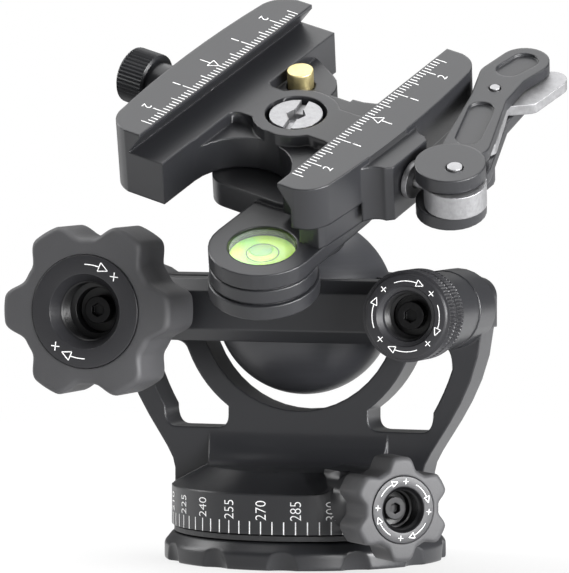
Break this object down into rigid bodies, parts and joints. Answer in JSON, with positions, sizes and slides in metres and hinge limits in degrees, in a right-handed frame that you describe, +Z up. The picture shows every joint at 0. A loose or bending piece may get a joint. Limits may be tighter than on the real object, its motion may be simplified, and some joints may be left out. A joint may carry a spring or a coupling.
{
  "type": "tripod ball head",
  "caption": "Open-yoke tripod ball head with a front clamp bar, main, tension and pan knobs, and a lever-locked dovetail clamp with a bubble level.",
  "frame": {"origin": "on the pan axis, at the underside of the mounting disk", "axes": "+Z up along the pan axis, -Y to the front, where the clamp bar and the knobs face, +X to the right as seen from the front; the rest pose is the pictured one, with the ball leaning to the front and right"},
  "size_m": [0.107, 0.0838, 0.1149],
  "materials": {
    "black_anodised": "satin black anodised",
    "grey_anodised": "satin charcoal anodised",
    "grip_rubber": "matt",
    "stainless": "turned stainless steel",
    "brass": "turned brass",
    "nylon": "matt",
    "level_fluid": "clear yellow-green fluid",
    "level_lens": "polished clear acrylic",
    "level_bubble": "air bubble seen through the fluid"
  },
  "bodies": {
    "base": {"mounting_disk": "black_anodised", "thread_insert": "stainless", "pan_bearing_ring": "nylon"},
    "yoke": {"body_yoke": "black_anodised", "front_clamp_bar": "black_anodised", "main_thrust_washer": "stainless", "tension_thrust_washer": "stainless", "pan_lock_shoe": "brass", "pan_retaining_screw_1": "stainless", "pan_retaining_screw_2": "stainless"},
    "main_knob": {"main_knob_core": "grey_anodised", "main_knob_grip": "grip_rubber", "main_knob_stud": "stainless", "main_knob_cap_screw": "stainless"},
    "tension_knob_set": {"tension_knob": "grey_anodised", "tension_knob_stud": "stainless", "tension_knob_cap_screw": "stainless"},
    "pan_knob": {"pan_knob_core": "grey_anodised", "pan_knob_grip": "grip_rubber", "pan_lock_screw": "stainless", "pan_knob_cap_screw": "stainless"},
    "ball_body": {"ball": "black_anodised"},
    "stem": {"ball_stem": "black_anodised"},
    "clamp": {"clamp_base": "black_anodised", "clamp_screw": "stainless", "detent_spring": "stainless", "jaw_guide_pin_1": "stainless", "jaw_guide_pin_2": "stainless", "jaw_spring_1": "stainless", "jaw_spring_2": "stainless", "drawbar": "stainless", "lever_barrel": "stainless", "level_housing": "black_anodised", "level_vial": "level_fluid", "level_lens": "level_lens", "level_bubble": "level_bubble"},
    "jaw": {"movable_jaw": "black_anodised", "jaw_thrust_washer": "stainless"},
    "lever": {"lever_upper_plate": "black_anodised", "lever_lower_plate": "black_anodised", "lever_pivot_pin": "stainless", "lever_rivet": "stainless"},
    "catch": {"safety_catch": "stainless"},
    "detent": {"detent_pin": "brass"},
    "adjuster": {"adjuster_knob": "black_anodised", "adjuster_screw": "stainless"}
  },
  "joints": [
    {"name": "pan", "type": "hinge", "parent": "base", "child": "yoke", "pos_m": [0, 0, 0], "axis": [0, 0, 1], "continuous": true},
    {"name": "main_knob_turn", "type": "hinge", "parent": "yoke", "child": "main_knob", "pos_m": [-0.033, 0, 0.052], "axis": [0, -1, 0], "range_deg": [-90, 360]},
    {"name": "tension_knob_turn", "type": "hinge", "parent": "yoke", "child": "tension_knob_set", "pos_m": [0.033, 0, 0.052], "axis": [0, -1, 0], "range_deg": [-90, 360]},
    {"name": "pan_knob_turn", "type": "hinge", "parent": "yoke", "child": "pan_knob", "pos_m": [0.0255, -0.0255, 0.0136], "axis": [0.7071, -0.7071, 0], "range_deg": [-90, 360]},
    {"name": "front_lean", "type": "hinge", "parent": "yoke", "child": "ball_body", "pos_m": [0, 0, 0.052], "axis": [1, 0, 0], "range_deg": [-60, 0]},
    {"name": "side_lean", "type": "hinge", "parent": "ball_body", "child": "stem", "pos_m": [0, 0, 0.052], "axis": [0, 0.8647, 0.5023], "range_deg": [-8, 4]},
    {"name": "swivel", "type": "hinge", "parent": "stem", "child": "clamp", "pos_m": [0, 0, 0.052], "axis": [0.1359, -0.4976, 0.8567], "range_deg": [-10, 10]},
    {"name": "lever_swing", "type": "hinge", "parent": "clamp", "child": "lever", "pos_m": [0.04383, -0.03515, 0.07611], "axis": [0.1359, -0.4976, 0.8567], "range_deg": [-150, 0]},
    {"name": "jaw_slide", "type": "slide", "parent": "clamp", "child": "jaw", "axis": [0.9408, -0.2061, -0.269], "range_m": [0, 0.0024]},
    {"name": "catch_swing", "type": "hinge", "parent": "lever", "child": "catch", "pos_m": [0.04388, -0.00951, 0.09379], "axis": [0.1359, -0.4976, 0.8567], "range_deg": [0, 6], "stiffness_Nm_per_rad": 0.02, "springref_deg": -5.73},
    {"name": "detent_press", "type": "slide", "parent": "clamp", "child": "detent", "axis": [-0.1359, 0.4976, -0.8567], "range_m": [0, 0.0026], "stiffness_N_per_m": 100, "springref_m": -0.002},
    {"name": "adjuster_turn", "type": "hinge", "parent": "clamp", "child": "adjuster", "pos_m": [-0.02856, -0.01638, 0.09849], "axis": [-0.9408, 0.2061, 0.269], "range_deg": [-180, 180]}
  ],
  "couplings": [
    {"joint": "lever_swing", "follows": "jaw_slide", "rad_per_m": -1090.8}
  ]
}
